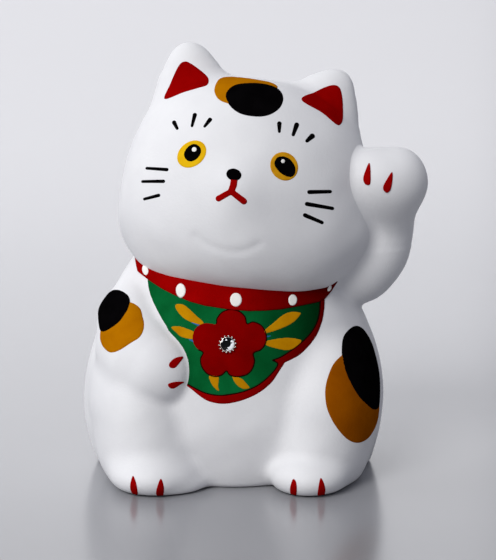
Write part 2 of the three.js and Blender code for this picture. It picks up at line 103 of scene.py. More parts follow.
# ---- distance fields
def smin(a, b, k):
    """The lesser of two fields, with the join filled over a width of k."""
    h = np.maximum(k - np.abs(a - b), 0.0) / k
    return np.minimum(a, b) - h * h * k * 0.25


def smax(a, b, k):
    return -smin(-a, -b, k)


def ellipsoid(p, centre, radii, lean=0.0):
    q = p - np.array(centre)
    if lean:
        c, s = math.cos(math.radians(lean)), math.sin(math.radians(lean))
        q = np.stack([q[:, 0] * c - q[:, 2] * s, q[:, 1], q[:, 0] * s + q[:, 2] * c], 1)
    r = np.array(radii, float)
    k0 = np.linalg.norm(q / r, axis=1)
    k1 = np.linalg.norm(q / (r * r), axis=1)
    return k0 * (k0 - 1.0) / np.maximum(k1, 1e-9)


def limb(p, stations, k=2.0):
    """A round limb through (x, y, z, radius) stations."""
    found = None
    for (*a, ra), (*b, rb) in zip(stations, stations[1:]):
        d = np.subtract(b, a)
        t = np.clip(((p - a) @ d) / (d @ d), 0, 1)
        dist = np.linalg.norm(p - a - t[:, None] * d, axis=1) - (ra + (rb - ra) * t)
        found = dist if found is None else smin(found, dist, k)
    return found


def unevenness(p, size, amount, seed):
    """Low waves, as a hand-finished casting has."""
    rng = np.random.RandomState(seed)
    total = np.zeros(len(p))
    for _ in range(7):
        way = rng.normal(size=3)
        way *= 2 * math.pi / (size * (0.7 + 0.8 * rng.rand()) * np.linalg.norm(way))
        total += np.sin(p @ way + rng.rand() * 6.283)
    return total * amount / 2.6


def within(value, middle, half_width):
    """The square of how many half-widths a value is off the middle."""
    return ((value - middle) / half_width) ** 2


def bulge(t, power):
    """A rounded profile: full at 0 and nothing from 1 on."""
    return np.maximum(1 - np.abs(t) ** power, 1e-6) ** (1 / power)


# ---- the body's shape
TRUNK_HALF_WIDTH, TRUNK_HALF_DEPTH = 44.3, 38.0
# The trunk is widest at this height, and its curves reach this far up and down from there.
WIDEST_AT, TRUNK_RISE, SIDE_DROP, BACK_DROP = 20, 62, 48, 31
SIDE_TAPER, BACK_TAPER, ROUND = 1.7, 1.8, 2.0
# The hollow under the raised arm: its depth, and its place and half-width across and up.
HOLLOW_DEPTH, HOLLOW_ACROSS, HOLLOW_UP = 1.6, (37, 7), (54, 6)
RAISED_ARM = [
    (28, -1, 55, 9.4), (36.4, -1.4, 58.8, 9.3), (40.8, -1.2, 64.8, 9.2), (42.5, -1.8, 72.6, 8.6),
    (43.6, -5.4, 80, 8.8)]
RESTING_ARM = [
    (-25.4, -6, 52.4, 8.8), (-28.2, -13.5, 45, 10.6), (-27.4, -20, 38.4, 11.6), (-24.4, -24.4, 35.0, 12.0),
    (-21.2, -28.2, 33.6, 10.2)]
TAIL = [(3, 34, 9, 5.4), (10, 36.4, 9, 5.8), (17, 34.6, 12, 5.6), (19.4, 32.6, 19, 4.8)]
# Left thigh, right thigh, left haunch, right haunch, belly: centre, radii, lean and fill.
LEGS_AND_BELLY = [
    ((24.9, -14, 19), (17.2, 24, 25.5), 7, 2.6),
    ((-25, -14, 19), (16.4, 24, 24.5), -16, 2.6),
    ((23.4, -18.5, 8), (13.2, 19.4, 14), 0, 6.0),
    ((-23.2, -18.5, 8), (14.8, 19.4, 14), 0, 6.0),
    ((0, -12, 6), (20, 20.5, 16), 0, 6.0)]
FOOT_RING_HALF_WIDTH, FOOT_RING_HALF_DEPTH, FOOT_RING_HEIGHT = 30.7, 19.7, 2.5
BUNG_HOLE_RADIUS, BUNG_HOLE_DEPTH = 9.15, 18
# Widths over which slip fills the joins.
ARM_TO_HEAD_FILL = 3.6
RIGHT_FOOT_FILL, LEFT_FOOT_FILL, TAIL_FILL, RESTING_ARM_FILL, RAISED_ARM_FILL = 3.6, 2.4, 2.5, 1.8, 3.0
NECK_TOP = 66


def trunk(p):
    """A pear shape, eased in under the raised arm."""
    z = p[:, 2] - WIDEST_AT
    high = z > 0
    a = TRUNK_HALF_WIDTH * np.where(high, bulge(z / TRUNK_RISE, SIDE_TAPER), bulge(z / SIDE_DROP, ROUND))
    b = TRUNK_HALF_DEPTH * np.where(high, bulge(z / TRUNK_RISE, BACK_TAPER), bulge(z / BACK_DROP, ROUND))
    x, y = p[:, 0], p[:, 1] - TRUNK_BACK
    s = np.sqrt((x / a) ** 2 + (y / b) ** 2) + 1e-9
    slope = np.sqrt((x / a**2) ** 2 + (y / b**2) ** 2) / s
    beside, above = within(p[:, 0], *HOLLOW_ACROSS), within(p[:, 2], *HOLLOW_UP)
    return (s - 1) / np.maximum(slope, 1e-6) + HOLLOW_DEPTH * np.exp(-beside - above)


def raised_arm(p):
    palm = ellipsoid(p, (42.4, -10.0, 86.0), (13.4, 10.8, 9.4), 4)
    outer_side = ellipsoid(p, (47.6, -9.5, 88.0), (7.2, 8.5, 7.2))
    return smin(limb(p, RAISED_ARM, 7.0) + 0.4, smin(palm, outer_side, 2.0), 9.0)


def filleted_arm(p):
    """The raised arm, with slip filled in where it lies against the head."""
    f = raised_arm(p)
    by = np.flatnonzero((f < 9) & (p[:, 2] > 50))
    if len(by):
        f[by] = np.maximum(smin(f[by], head(p[by]) + 0.3, ARM_TO_HEAD_FILL), f[by] - 3.5)
    return f


def resting_arm(p):
    return limb(p, RESTING_ARM, 3.0)


def feet(p):
    left = ellipsoid(p, (21.6, -30.6, 4.4), (11.4, 13.6, 6.9))
    right = ellipsoid(p, (-23.0, -30.6, 4.4), (12.0, 13.6, 6.9))
    right_instep = ellipsoid(p, (-15.8, -28.0, 1.8), (8.8, 11.0, 4.2))
    return np.minimum(left, smin(right, right_instep, 4.0))


def torso(p):
    """The body with its legs, feet, tail and resting arm."""
    f = trunk(p)
    for centre, radii, lean, fill in LEGS_AND_BELLY:
        f = smin(f, ellipsoid(p, centre, radii, lean), fill)
    f = smin(f, feet(p), np.where(p[:, 0] < 0, RIGHT_FOOT_FILL, LEFT_FOOT_FILL))
    f = smin(f, limb(p, TAIL, 3.0), TAIL_FILL)
    f = smin(f, resting_arm(p), RESTING_ARM_FILL)
    return f + unevenness(p, 26, 0.16, 3) + unevenness(p, 9, 0.05, 4)


def body(p):
    """The torso with its raised arm, flat below, with a foot ring and the hole for the bung."""
    f = smin(torso(p), filleted_arm(p), RAISED_ARM_FILL)
    f = smax(f, -p[:, 2], 1.6)
    x, y, z = p[:, 0], p[:, 1] - TRUNK_BACK, p[:, 2]
    recess = np.sqrt((x / FOOT_RING_HALF_WIDTH) ** 2 + (y / FOOT_RING_HALF_DEPTH) ** 2) - 1
    f = smax(f, -smax(recess * FOOT_RING_HALF_DEPTH, z - FOOT_RING_HEIGHT, 0.8), 0.8)
    hole = smax(np.hypot(x, y) - BUNG_HOLE_RADIUS, z - BUNG_HOLE_DEPTH, 0.5)
    return smax(f, -hole, 0.5)


def body_open(p):
    """The body, whose neck stops inside the head while the raised arm goes on up beside it."""
    return smax(body(p), np.minimum(p[:, 2] - NECK_TOP, filleted_arm(p)), 0.6)


# ---- the head's shape
HEAD_HALF_WIDTH, HEAD_HALF_DEPTH, CROWN_RISE, CHIN_DROP = 36.3, 31.5, 38.0, 27.0
HEAD_SQUARENESS = 2.45
HEAD_MIDDLE_ACROSS, HEAD_MIDDLE_UP = 1.1, -6
EAR_FILL = 5.0
EARS = [
    [(-16.5, 1, 12, 14), (-18.6, 1, 25.6, 10.5), (-20.0, 1, 32.2, 7.2), (-21.1, 1, 35.4, 3.7)],
    [(16.5, 1, 12, 14), (19.4, 1, 25.2, 10.5), (21.3, 1, 30.6, 7.0), (23.2, 1, 33.6, 3.9)]]
# Place and half-width across and up, and how far it swells out.
MUZZLE = ((-2.1, 8.0), (-1.8, 7.0), 2.9)
CHIN = ((-2.3, 11.0), (-10.5, 7.0), 0.6)
# The left cheek swells before the raised arm. Its place and half-width across, up and back.
CHEEK_ACROSS, CHEEK_UP, CHEEK_BACK, CHEEK_SWELL = (38, 12), (-9.5, 9.6), (-4, 17), 2.3
SMILE_DEPTH, SMILE_HALF_WIDTH = 0.3, 1.2
SMILE = [(-11, -16.2), (-8.6, -17.6), (-5.3, -18.7), (-2, -19.2), (1.3, -18.9), (4.2, -17.8), (6.8, -16)]


def beside_segment(x, y, a, b):
    """How far along from a to b the nearest place is, as a share, and how far away it is."""
    dx, dy = b[0] - a[0], b[1] - a[1]
    t = np.clip(((x - a[0]) * dx + (y - a[1]) * dy) / (dx * dx + dy * dy + 1e-12), 0, 1)
    return t, np.hypot(x - a[0] - t * dx, y - a[1] - t * dy)


def ears(across, back, up):
    """Both ears, a little flatter from front to back than they are wide."""
    flat = np.stack([across, back * 1.45 - 1.2, up], 1)
    return np.minimum(limb(flat, EARS[0], 2.5), limb(flat, EARS[1], 2.5))


def head(p):
    across, up, out = FACE.drop(p)
    back = -out
    front = back < 0
    u, w = across - HEAD_MIDDLE_ACROSS, up - HEAD_MIDDLE_UP
    rise = np.where(w > 0, CROWN_RISE, CHIN_DROP)
    s = np.sqrt((u / HEAD_HALF_WIDTH) ** 2 + (back / HEAD_HALF_DEPTH) ** 2) + 1e-9
    t = np.abs(w) / rise + 1e-9
    n = HEAD_SQUARENESS
    r = (s**n + t**n) ** (1 / n)
    level = np.sqrt((u / HEAD_HALF_WIDTH**2) ** 2 + (back / HEAD_HALF_DEPTH**2) ** 2) / s
    slope_s = (s / r) ** (n - 1) * level
    slope_t = (t / r) ** (n - 1) / rise
    f = (r - 1) / np.sqrt(slope_s**2 + slope_t**2)
    f = smin(f, ears(across, back, up), EAR_FILL)
    for place_across, place_up, swell in (MUZZLE, CHIN):
        f = f - swell * np.exp(-(within(across, *place_across) + within(up, *place_up))) * front
    cheek = within(across, *CHEEK_ACROSS) + within(up, *CHEEK_UP) + within(back, *CHEEK_BACK)
    f = f - CHEEK_SWELL * np.exp(-cheek)
    smile = np.min([beside_segment(across, up, a, b)[1] for a, b in zip(SMILE, SMILE[1:])], axis=0)
    f = f + front * SMILE_DEPTH * np.exp(-within(smile, 0, SMILE_HALF_WIDTH))
    return f + unevenness(p, 24, 0.16, 7) + unevenness(p, 9, 0.05, 8)


# ---- flat outlines
# An outline is a signed distance as a function of x and y, with the box that it fills.
def curve(a, b, c, d, steps):
    """Points of a Catmull-Rom curve from b up to c, without c."""
    return [0.5 * (2 * b + (c - a) * t + (2 * a - 5 * b + 4 * c - d) * t * t
                   + (3 * b - a - 3 * c + d) * t**3) for t in np.arange(steps) / steps]


def smooth(points, steps=90):
    """A closed curve through its points."""
    pts = np.array(points, float)
    n = len(pts)
    spans = [[pts[(i + j) % n] for j in (-1, 0, 1, 2)] for i in range(n)]
    return [spot for span in spans for spot in curve(*span, max(2, steps // n))]


def run(points):
    """An open curve through its points, whose ends stay sharp corners."""
    pts = np.array([points[0], *points, points[-1]], float)
    return [spot for span in zip(pts, pts[1:], pts[2:], pts[3:]) for spot in curve(*span, 8)] + [pts[-1]]


def with_box(distance, low, high):
    distance.box = (np.array(low), np.array(high))
    return distance


def inside_outline(points):
    """A closed outline, negative inside."""
    pts = np.array(points, float)

    def distance(x, y):
        best = np.full(len(x), 1e9)
        sign = np.ones(len(x))
        for a, b in zip(pts, np.roll(pts, -1, 0)):
            best = np.minimum(best, beside_segment(x, y, a, b)[1])
            dy = b[1] - a[1]
            reach = a[0] + (y - a[1]) * (b[0] - a[0]) / (dy if abs(dy) > 1e-12 else 1e-12)
            crosses = ((a[1] <= y) != (b[1] <= y)) & (x < reach)
            sign = np.where(crosses, -sign, sign)
        return best * sign

    return with_box(distance, pts.min(0), pts.max(0))


def oval(at, radii, degrees=0.0):
    c, s = math.cos(math.radians(degrees)), math.sin(math.radians(degrees))

    def distance(x, y):
        u = (x - at[0]) * c + (y - at[1]) * s
        v = -(x - at[0]) * s + (y - at[1]) * c
        k0 = np.hypot(u / radii[0], v / radii[1])
        k1 = np.hypot(u / radii[0] ** 2, v / radii[1] ** 2)
        return k0 * (k0 - 1) / np.maximum(k1, 1e-9)

    return with_box(distance, np.array(at) - max(radii), np.array(at) + max(radii))


def strokes(*lines):
    """Brush strokes, each a list of (x, y, half-width)."""

    def distance(x, y):
        best = np.full(len(x), 1e9)
        for line in lines:
            for (*a, ra), (*b, rb) in zip(line, line[1:]):
                t, away = beside_segment(x, y, a, b)
                best = np.minimum(best, away - (ra + (rb - ra) * t))
        return best

    every = np.array([(x, y) for line in lines for x, y, _ in line])
    return with_box(distance, every.min(0) - 1.5, every.max(0) + 1.5)


def banded(outer, inner):
    """What is inside one outline and outside another."""

    def distance(x, y):
        return np.maximum(outer(x, y), -inner(x, y))

    return with_box(distance, *outer.box)


# The resting arm overlaps the bib on this place's right and above it.
ARM_OVERLAP_ACROSS, ARM_OVERLAP_UP = -5, 34


def lined(outline, half):
    """A thin line along an outline, but not where the resting arm overlaps the bib."""

    def distance(x, y):
        return np.maximum(np.abs(outline(x, y)) - half, np.minimum(y - ARM_OVERLAP_UP,
            ARM_OVERLAP_ACROSS - x))

    return with_box(distance, outline.box[0] - 1, outline.box[1] + 1)


# ---- meshes from fields
# How many fine steps go into a coarse one, and how many places are worked out at once.
COARSE = 4
BATCH = 400000
CORNERS = [(i, j, k) for i in (0, 1) for j in (0, 1) for k in (0, 1)]
STEPS_UP = [(1, 0, 0), (0, 1, 0), (0, 0, 1)]
EDGES = [(a, b) for a in CORNERS for b in CORNERS if tuple(np.subtract(b, a)) in STEPS_UP]


def enlarged(grid):
    """Every cell of a coarse grid, repeated for the fine cells in it."""
    for axis in range(3):
        grid = np.repeat(grid, COARSE, axis)
    return grid


def window(grid, corner, shape):
    """A view of a grid of corners: one corner of each cell."""
    return grid[tuple(slice(d, d + n) for d, n in zip(corner, shape))]


def sampled(field, low, high, step):
    """A field on a fine grid, worked out near its zero level and only coarsely elsewhere."""
    size = np.ceil((high - low) / (step * COARSE)).astype(int) * COARSE + 1
    marks = [low[i] + step * np.arange(0, size[i], COARSE) for i in range(3)]
    places = np.stack(np.meshgrid(*marks, indexing="ij"), -1).reshape(-1, 3)
    rough = field(places).reshape([len(m) for m in marks])
    near = np.abs(rough) < step * COARSE * 1.3
    block = np.zeros([n - 1 for n in rough.shape], bool)
    for corner in CORNERS:
        block |= window(near, corner, block.shape)
    values = np.pad(enlarged(rough[:-1, :-1, :-1]), (0, 1), mode="edge")
    fine = enlarged(block)
    need = np.zeros(values.shape, bool)
    for corner in CORNERS:
        view = window(need, corner, fine.shape)
        view |= fine
    places = low + np.argwhere(need) * step
    values[need] = np.concatenate([field(places[i : i + BATCH]) for i in range(0, len(places), BATCH)])
    return values


def cell_points(values):
    """The cells that the surface crosses, and a point in each, in grid steps."""
    shape = tuple(n - 1 for n in values.shape)
    count = sum(window(values < 0, corner, shape).astype(np.int8) for corner in CORNERS)
    active = (count > 0) & (count < 8)
    cells = np.argwhere(active)
    total = np.zeros((len(cells), 3))
    hits = np.zeros(len(cells))
    for a, b in EDGES:
        va, vb = window(values, a, shape)[active], window(values, b, shape)[active]
        crossed = (va < 0) != (vb < 0)
        t = np.where(crossed, va / np.where(va == vb, 1, va - vb), 0)
        total += crossed[:, None] * (np.array(a) + t[:, None] * np.subtract(b, a))
        hits += crossed
    return active, cells + total / hits[:, None]


def cell_quads(inside, active):
    """A quad between the four cells round each grid edge that goes through the surface."""
    number = np.full(active.shape, -1, np.int64)
    number[active] = np.arange(np.count_nonzero(active))
    faces = []
    for axis, (o1, o2) in enumerate([(1, 2), (2, 0), (0, 1)]):
        start, stop = [slice(None)] * 3, [slice(None)] * 3
        start[axis], stop[axis] = slice(0, -1), slice(1, None)
        first = inside[tuple(start)]
        at = np.argwhere(first != inside[tuple(stop)])
        within = (at[:, o1] > 0) & (at[:, o2] > 0)
        at = at[within & (at[:, o1] < active.shape[o1]) & (at[:, o2] < active.shape[o2])]
        ring = []
        for s1, s2 in ((0, 0), (-1, 0), (-1, -1), (0, -1)):
            cell = at.copy()
            cell[:, o1] += s1
            cell[:, o2] += s2
            ring.append(number[tuple(cell.T)])
        quad = np.stack(ring, 1)
        outward = first[tuple(at.T)]
        quad[~outward] = quad[~outward][:, ::-1]
        faces.append(quad)
    faces = np.concatenate(faces)
    return faces[(faces >= 0).all(1)]


def pulled(field, verts, step):
    """Points moved onto a field's zero level."""
    h = step * 0.3
    for _ in range(2):
        slope = np.stack([(field(verts + h * e) - field(verts - h * e)) / (2 * h) for e in np.eye(3)], 1)
        move = -field(verts)[:, None] * slope / np.maximum((slope**2).sum(1), 0.05)[:, None]
        length = np.linalg.norm(move, axis=1)
        verts = verts + move * np.minimum(1, step * 0.6 / np.maximum(length, 1e-9))[:, None]
    return verts


def net(field, low, high, step):
    """A closed quad mesh of a field's zero level."""
    low, high = np.array(low, float), np.array(high, float)
    values = sampled(field, low, high, step)
    active, points = cell_points(values)
    return pulled(field, low + points * step, step), cell_quads(values < 0, active)


def add(name, verts, faces, material, nodes, flat=False):
    """A piece that rides on the cat and stands for the named CAD nodes."""
    mesh = bpy.data.meshes.new(name)
    mesh.from_pydata(in_frame(verts).tolist(), [], [list(map(int, f)) for f in faces])
    mesh.validate()
    mesh.polygons.foreach_set("use_smooth", [not flat] * len(mesh.polygons))
    mesh.update()
    obj = bpy.data.objects.new(name, mesh)
    bpy.context.scene.collection.objects.link(obj)
    obj.data.materials.append(material)
    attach(obj, "cat")
    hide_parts(*nodes)
    return obj


# ---- materials
def node(tree, kind, **values):
    made = tree.nodes.new(kind)
    for key, value in values.items():
        if hasattr(made, key):
            setattr(made, key, value)
        else:
            made.inputs[key.replace("_", " ")].default_value = value
    return made


GRAIN_SCALE = 1400.0
GRAIN_HEIGHT = 0.0004
ROUGHNESS_SPREAD = 0.07


def with_painted_shade(tree, place, tone, dark, start, end, share):
    """Painted shade: a tone that goes over to a share of the dark one between two places across, darker
    towards the second.
    """
    axes = node(tree, "ShaderNodeSeparateXYZ")
    tree.links.new(place, axes.inputs["Vector"])
    along = node(tree, "ShaderNodeMapRange", interpolation_type="SMOOTHSTEP", From_Min=start, From_Max=end)
    tree.links.new(axes.outputs["X"], along.inputs["Value"])
    shaded = node(tree, "ShaderNodeMix", data_type="RGBA", B=(*[share * c for c in dark], 1))
    tree.links.new(tone, shaded.inputs["A"])
    tree.links.new(along.outputs["Result"], shaded.inputs["Factor"])
    return shaded.outputs["Result"]


def painted(name, light, dark, roughness, streak, bump, gloss=0.22, painted_shade=None):
    """A fired surface: its colour drifts between two tones, with a fine grain in its relief, and painted
    shade may darken it towards one side.
    """
    material = bpy.data.materials.new(name)
    material.use_nodes = True
    tree = material.node_tree
    shader = tree.nodes["Principled BSDF"]
    place = node(tree, "ShaderNodeTexCoord").outputs["Object"]
    drift = node(tree, "ShaderNodeTexNoise", Scale=streak, Detail=4.0, Roughness=0.55)
    tree.links.new(place, drift.inputs["Vector"])
    ramp = node(tree, "ShaderNodeMapRange", From_Min=0.3, From_Max=0.7)
    tree.links.new(drift.outputs["Fac"], ramp.inputs["Value"])
    mix = node(tree, "ShaderNodeMix", data_type="RGBA", A=(*dark, 1), B=(*light, 1))
    tree.links.new(ramp.outputs["Result"], mix.inputs["Factor"])
    tone = mix.outputs["Result"]
    # Painted shade, darker towards one side.
    if painted_shade:
        tone = with_painted_shade(tree, place, tone, dark, *painted_shade)
    tree.links.new(tone, shader.inputs["Base Color"])
    grain = node(tree, "ShaderNodeTexNoise", Scale=GRAIN_SCALE, Detail=3.0, Roughness=0.6)
    tree.links.new(place, grain.inputs["Vector"])
    rough = node(tree, "ShaderNodeMapRange", To_Min=roughness - ROUGHNESS_SPREAD,
        To_Max=roughness + ROUGHNESS_SPREAD)
    tree.links.new(grain.outputs["Fac"], rough.inputs["Value"])
    tree.links.new(rough.outputs["Result"], shader.inputs["Roughness"])
    relief = node(tree, "ShaderNodeBump", Strength=bump, Distance=GRAIN_HEIGHT)
    tree.links.new(grain.outputs["Fac"], relief.inputs["Height"])
    tree.links.new(relief.outputs["Normal"], shader.inputs["Normal"])
    shader.inputs["Specular IOR Level"].default_value = gloss
    if gloss == 0:
        shader.inputs["IOR"].default_value = 1.0
    return material


def matt(name, light, dark, streak, bump=0.1, painted_shade=None):
    """Paint with no shine at all."""
    return painted(name, light, dark, 0.8, streak, bump, gloss=0.0, painted_shade=painted_shade)


CERAMIC = painted("matt_ceramic", (0.82, 0.82, 0.835), (0.775, 0.775, 0.795), 0.6, 60, 0.16)
WHITE = painted("white_paint", (0.90, 0.89, 0.86), (0.83, 0.82, 0.78), 0.6, 200, 0.08, gloss=0.1)
RED = matt("red_paint", (0.30, 0.0006, 0.0006), (0.23, 0.0004, 0.0004), 160)
# Painted shade: the collar's red, also used on the bib's edging, and the bib's green are painted darker
# towards the raised paw, where the head's shadow falls, over this stretch in metres and down to this share.
COLLAR_RED = matt("collar_red_paint", (0.31, 0.0006, 0.0006), (0.24, 0.0004, 0.0004), 160,
    painted_shade=(-0.016, 0.024, 0.42))
GREEN = matt("green_paint", (0.003, 0.132, 0.033), (0.0016, 0.085, 0.019), 120, painted_shade=(-0.006, 0.022, 0.25))
DEEP_RED = matt("deep_red_paint", (0.235, 0.0004, 0.0004), (0.17, 0.0003, 0.0003), 120)
CLAW_RED = matt("claw_red_paint", (0.34, 0.001, 0.001), (0.25, 0.0008, 0.0008), 260)
INK = matt("line_paint", (0.016, 0.001, 0.001), (0.006, 0.0005, 0.0005), 260, 0.06)
BLUE = matt("blue_paint", (0.03, 0.16, 0.38), (0.02, 0.11, 0.28), 260, 0.06)
OCHRE = matt("ochre_paint", (0.46, 0.165, 0.0006), (0.38, 0.125, 0.0005), 120)
LEAF = matt("leaf_paint", (0.56, 0.255, 0.002), (0.46, 0.19, 0.0012), 200)
BROWN = matt("deep_ochre_paint", (0.30, 0.078, 0.0004), (0.22, 0.052, 0.0003), 90)
YELLOW = matt("yellow_paint", (0.82, 0.50, 0.008), (0.72, 0.40, 0.005), 300, 0.06)
AMBER = matt("amber_paint", (0.66, 0.32, 0.008), (0.52, 0.22, 0.005), 420, 0.06)
BLACK = matt("black_paint", (0.0024, 0.002, 0.0024), (0.001, 0.0008, 0.001), 160)
RUBBER = painted("bung_rubber", (0.60, 0.58, 0.52), (0.50, 0.48, 0.42), 0.7, 150, 0.2)
METAL = painted("plated_metal", (0.82, 0.80, 0.76), (0.66, 0.63, 0.57), 0.22, 900, 0.04)
METAL.node_tree.nodes["Principled BSDF"].inputs["Metallic"].default_value = 1.0
# Painted highlight and painted shade: the lit facets are painted near white with a painted glow, and the
# others are painted near black.
CRYSTAL_PAINTED_HIGHLIGHT = painted("crystal_painted_highlight", (0.97, 0.98, 1.0), (0.9, 0.93, 1.0), 0.14, 500, 0.01, gloss=0.8)
# A painted glow on the lit facets, though the crystal is no lamp.
painted_glow = CRYSTAL_PAINTED_HIGHLIGHT.node_tree.nodes["Principled BSDF"].inputs
painted_glow["Emission Color"].default_value = (0.95, 0.97, 1.0, 1)
painted_glow["Emission Strength"].default_value = 0.3
CRYSTAL_PAINTED_SHADE = painted("shadowed_crystal", (0.006, 0.006, 0.008), (0.002, 0.002, 0.003), 0.14, 500, 0.01,
    gloss=0.12)

# ---- the castings and the bung
FINE = 0.8
verts, faces = net(head, (-38, -42, 46), (46, 36, 128), FINE)
add("head_casting", verts, faces, CERAMIC, ["head_shell", "ear_left", "ear_right"])
BODY_NODES = ["body_shell", "raised_arm", "resting_arm", "foot_left", "foot_right", "tail"]
verts, faces = net(body_open, (-48, -48, -2.4), (59.2, 45.6, 98.4), FINE)
add("body_casting", verts, faces, CERAMIC, BODY_NODES)

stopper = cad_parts["stopper"]
stopper.data.materials.clear()
stopper.data.materials.append(RUBBER)


# ---- enamel on the castings
# How far enamel goes into the casting, and the width over which its edge rounds up.
SINK = 0.5
EDGE = 0.35
# Lines come in by this share of the distance to the casting, until they are this close to it.
STRIDE, MOST_STRIDES, CLOSE_ENOUGH = 0.85, 70, 0.02


def land(base, plane, x, y, far, near):
    """How far out straight lines that come in along a plane's out axis first meet a casting."""
    depth = np.full(len(x), float(far))
    live = np.arange(len(x))
    for _ in range(MOST_STRIDES):
        if not len(live):
            break
        value = base(plane.lift(np.stack([x[live], y[live], depth[live]], 1)))
        away = np.abs(value) > CLOSE_ENOUGH
        depth[live] -= np.where(away, value * STRIDE, 0)
        live = live[away & (depth[live] > near)]
    return depth


def trimmed(d, shape, spots):
    """The part of a grid where d is negative, as faces cut off along its zero line, and their
    new corners as (across, up, out, 0)."""
    inside = d < 0
    corner = np.arange(d.size).reshape(shape)
    rings = [corner[:-1, :-1], corner[1:, :-1], corner[1:, 1:], corner[:-1, 1:]]
    rings = np.stack(rings, -1).reshape(-1, 4)
    count = inside[rings].sum(1)
    faces = rings[count == 4].tolist()
    cuts, made = {}, []
    for ring in rings[(count > 0) & (count < 4)].tolist():
        face = []
        for a, b in zip(ring, ring[1:] + ring[:1]):
            if inside[a]:
                face.append(a)
            if inside[a] != inside[b]:
                low, high = min(a, b), max(a, b)
                if (low, high) not in cuts:
                    t = np.clip(d[low] / (d[low] - d[high]), 0.02, 0.98)
                    cuts[low, high] = d.size + len(made)
                    across, up = spots[low, :2] + t * (spots[high, :2] - spots[low, :2])
                    made.append((across, up, spots[low if inside[low] else high, 2], 0.0))
                face.append(cuts[low, high])
        faces.append(face)
    return faces, np.array(made)


def layered(faces, count):
    """The faces of a closed layer: its top, its underside count corners further on, and its walls."""
    edges = {(a, b): True for f in faces for a, b in zip(f, f[1:] + f[:1])}
    walls = [(b, a, a + count, b + count) for a, b in edges if (b, a) not in edges]
    return faces + [[i + count for i in reversed(f)] for f in faces] + walls


def paint(name, plane, outline, material, nodes, slot, thick=0.16, step=0.3, near=10, far=70, clear=None):
    """Raised enamel: a flat outline cast onto the head or the body along a plane's out axis."""
    base = head if plane in (FACE, CROWN) else body
    marks = [np.arange(low - step * 1.4, high + step * 2.4, step) for low, high in zip(*outline.box)]
    gx, gy = (m.ravel() for m in np.meshgrid(*marks, indexing="ij"))
    d = outline(gx, gy)
    depth = np.full(len(gx), -1e3)
    close = d < step * 2
    depth[close] = land(base, plane, gx[close], gy[close], far, near)
    spots = np.stack([gx, gy, depth], 1)
    hit = depth > near
    d = np.where(hit, d, step)
    if clear is not None:
        at = np.flatnonzero(hit & (d < step * 2))
        d[at] = np.maximum(d[at], clear(plane.lift(spots[at])))
    faces, made = trimmed(d, [len(m) for m in marks], spots)
    spots = np.concatenate([np.column_stack([spots, -d]), made])
    used = np.unique([i for f in faces for i in f])
    renumber = np.full(len(spots), -1)
    renumber[used] = np.arange(len(used))
    faces = [[int(renumber[i]) for i in f] for f in faces]
    spots = spots[used]
    for _ in range(3):
        pos = plane.lift(spots[:, :3])
        value = base(pos)
        slope = (base(pos + 0.1 * plane.axes[2]) - value) / 0.1
        spots[:, 2] -= np.clip(value / np.maximum(slope, 0.15), -0.4, 0.4)
    pos = plane.lift(spots[:, :3])
    normal = np.stack([base(pos + 0.05 * e) - base(pos - 0.05 * e) for e in np.eye(3)], 1)
    normal /= np.linalg.norm(normal, axis=1)[:, None]
    rise = thick * np.sqrt(1 - (1 - np.clip(spots[:, 3] / EDGE, 0, 1)) ** 2)
    layer = np.concatenate([pos + normal * rise[:, None], pos - normal * SINK])
    add(name, layer, layered(faces, len(pos)), material, nodes)


def enamel(node_name, plane, outline, material, slot, **how):
    """Enamel that stands for one CAD node and is named after it."""
    paint(f"{node_name}_enamel", plane, outline, material, [node_name], slot, **how)


# ---- the collar
# Seen from in front, its lower edge sags, and its end rises to a point before the raised arm.
COLLAR_LOW = np.array([
    (-30, 57.6), (-27.4, 55.8), (-24.4, 53.6), (-20.6, 51.2), (-16.6, 49.2), (-12.4, 47.5), (-8.0, 46.3),
    (-0.2, 45.1), (4.5, 44.8), (9.0, 44.9), (13.7, 45.3), (18.3, 46.1), (24.4, 47.3), (26.3, 48.2),
    (28.2, 50.3), (30.2, 53.3), (36, 62)])
COLLAR_HIGH = np.array([(21.5, 53.2), (24.8, 51.9), (30.2, 53.4)])
# The band lies within these distances of the head, in front of this y and behind it.
FRONT_HALF = 6
REACH_IN_FRONT, REACH_BEHIND = 7.6, 4.7
# The band's middle under the torso's surface, its thickness, its rounding and its gap to the arm.
BAND_SUNK, BAND_HALF_THICKNESS, BAND_EDGE, BAND_TO_ARM = 0.3, 0.8, 0.3, 0.6
# In front, the bare shoulder's edge goes through this place, and leans out by this share.
BARE_ACROSS, BARE_UP, BARE_LEAN = -29.3, 61.5, 0.27
# Behind, it is at this y under the head, and goes back by this share where the head is off.
BARE_BACK, BARE_BACK_LEAN, UNDER_HEAD = 8, 3.8, 2.9
# Middle, half-sizes and turn. The last dot is too small to have a CAD node.
COLLAR_DOTS = [
    ((-25.2, 56.3), (1.0, 1.6), 12), ((-14.8, 50.5), (1.5, 2.1), 4), ((0.75, 47.9), (1.75, 2.05), 0),
    ((16.7, 47.8), (1.35, 1.7), -4), ((27.4, 51.1), (0.62, 1.15), -32)]


def collar_reach(p):
    """A field that is negative between the collar's upper and lower edges."""
    x, y, _ = FRONT.drop(p)
    front = np.maximum(head(p) - REACH_IN_FRONT, np.interp(x, *COLLAR_LOW.T) - y)
    front = np.maximum(front, np.where(x > COLLAR_HIGH[0, 0], y - np.interp(x, *COLLAR_HIGH.T), -9.0))
    return np.where(p[:, 1] < FRONT_HALF, front, head(p) - REACH_BEHIND)


